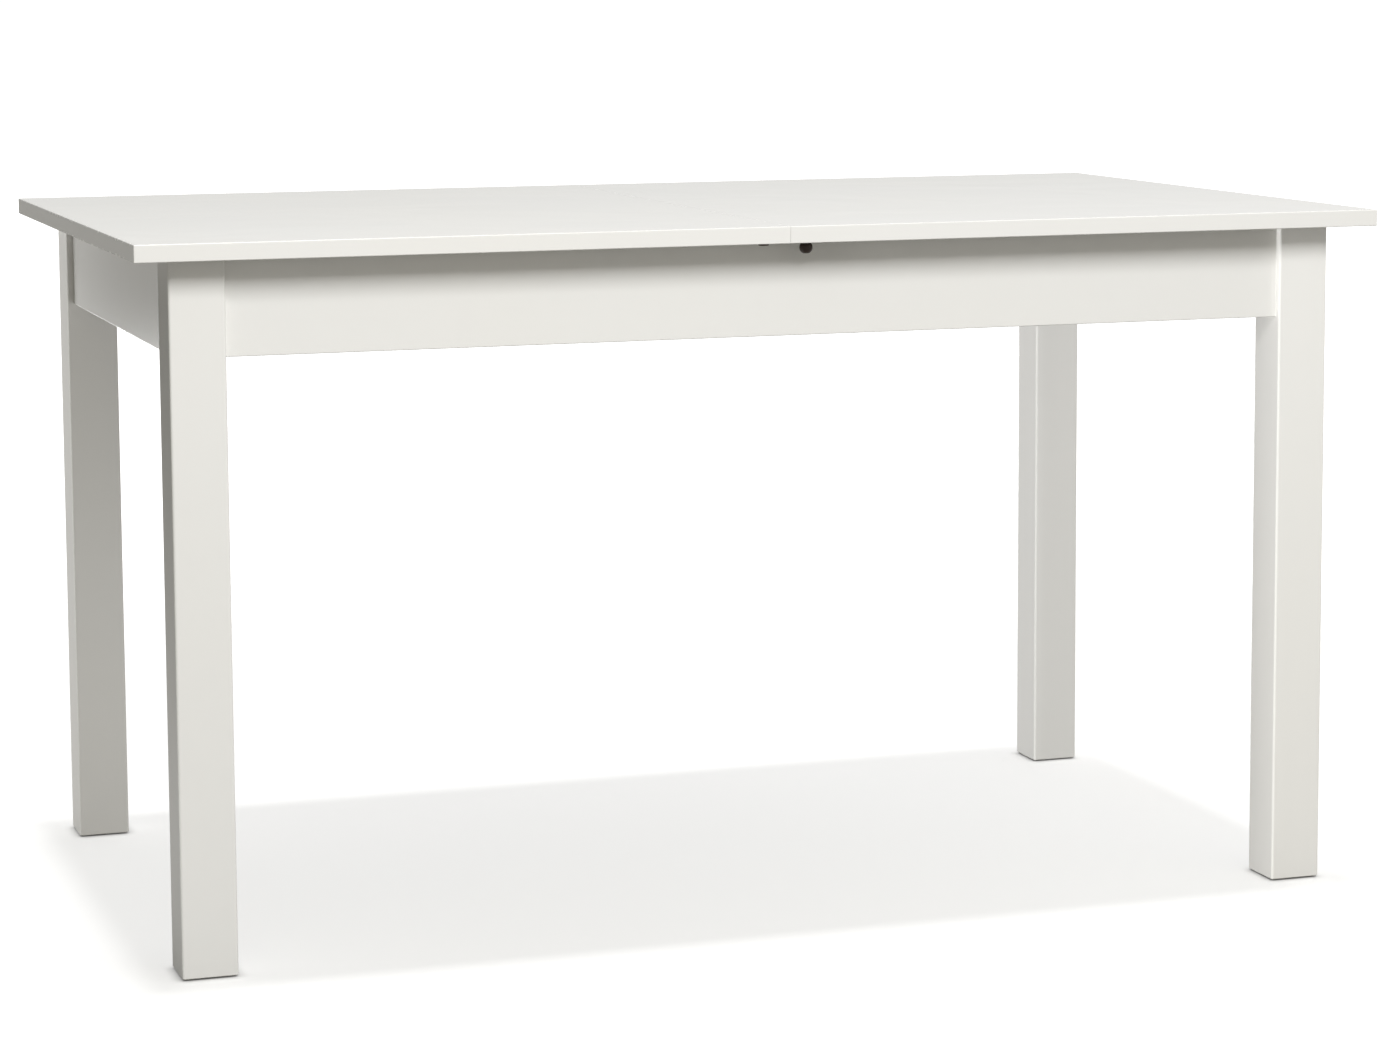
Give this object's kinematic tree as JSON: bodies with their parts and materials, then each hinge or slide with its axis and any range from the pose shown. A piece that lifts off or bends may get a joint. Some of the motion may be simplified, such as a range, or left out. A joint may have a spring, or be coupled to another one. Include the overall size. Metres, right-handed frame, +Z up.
{
  "type": "extendable dining table",
  "caption": "White rectangular dining table on square legs; the two-part top slides apart over a folding leaf stored under it.",
  "frame": {"origin": "on the floor, under the middle of the closed table", "axes": "+Z up, +X along the table to the right half of the top, -Y towards the front, where the lock is"},
  "size_m": [1.37, 0.8, 0.755],
  "materials": {
    "white_top_foil": "satin white melamine foil on board, semi-matt",
    "white_leg_foil": "satin white foil wrapped on a square leg",
    "white_apron_foil": "satin white foil on board",
    "white_rail_foil": "plain white foil on board, not seen in use",
    "beech": "planed solid beech, unlacquered",
    "beech_dowel": "turned beech dowel",
    "white_nylon": "natural nylon, slippery",
    "rail_aluminium": "extruded, satin anodised",
    "grey_plastic": "moulded polyethylene",
    "brown_plastic": "dark brown moulded plastic",
    "bronzed_steel": "dark bronzed steel",
    "brass": "brushed brass",
    "zinc_steel": "bright zinc-plated steel"
  },
  "bodies": {
    "frame": {"apron_back": "white_apron_foil", "apron_dowels": "beech_dowel", "apron_front": "white_apron_foil", "apron_left": "white_apron_foil", "apron_right": "white_apron_foil", "apron_top_pads": "white_nylon", "corner_bracket_back_left": "zinc_steel", "corner_bracket_back_right": "zinc_steel", "corner_bracket_front_left": "zinc_steel", "corner_bracket_front_right": "zinc_steel", "cross_rail_angles": "zinc_steel", "cross_rail_left": "white_rail_foil", "cross_rail_right": "white_rail_foil", "foot_glide_back_left": "grey_plastic", "foot_glide_back_right": "grey_plastic", "foot_glide_front_left": "grey_plastic", "foot_glide_front_right": "grey_plastic", "frame_screws": "zinc_steel", "leaf_edge_dowels": "beech_dowel", "leaf_flap_lower": "white_top_foil", "leaf_flap_upper": "white_top_foil", "leaf_hinge_barrels": "brass", "leaf_hinge_links": "zinc_steel", "leaf_pivot_bracket_left": "zinc_steel", "leaf_pivot_bracket_right": "zinc_steel", "leaf_pivot_pins": "zinc_steel", "leaf_pivot_plate_left": "zinc_steel", "leaf_pivot_plate_right": "zinc_steel", "leaf_rest_rail": "white_rail_foil", "leaf_rest_rail_screws": "zinc_steel", "leg_back_left": "white_leg_foil", "leg_back_right": "white_leg_foil", "leg_bolt_nuts": "zinc_steel", "leg_bolt_washers": "zinc_steel", "leg_front_left": "white_leg_foil", "leg_front_right": "white_leg_foil", "leg_hanger_bolts": "zinc_steel", "slide_rail_back": "rail_aluminium", "slide_rail_front": "rail_aluminium", "slide_rail_stops": "white_nylon"},
    "left_half": {"top_left": "white_top_foil", "seam_dowels": "beech_dowel", "runner_left_front": "beech", "runner_left_back": "beech", "glide_blocks_left": "white_nylon", "glide_screws_left": "zinc_steel", "runner_screws_left": "zinc_steel", "lock_peg": "bronzed_steel"},
    "right_half": {"top_right": "white_top_foil", "runner_right_front": "beech", "runner_right_back": "beech", "glide_blocks_right": "white_nylon", "glide_screws_right": "zinc_steel", "runner_screws_right": "zinc_steel", "lock_pivot_screw": "bronzed_steel"},
    "lock": {"lock_hook": "bronzed_steel", "lock_knob": "brown_plastic"}
  },
  "joints": [
    {"name": "left_half_slide", "type": "slide", "parent": "frame", "child": "left_half", "axis": [-1, 0, 0], "range_m": [0, 0.2]},
    {"name": "right_half_slide", "type": "slide", "parent": "frame", "child": "right_half", "axis": [1, 0, 0], "range_m": [0, 0.2]},
    {"name": "lock_hook_turn", "type": "hinge", "parent": "right_half", "child": "lock", "pos_m": [0.0255, -0.376, 0.7361], "axis": [0, 0, -1], "range_deg": [0, 180]}
  ]
}
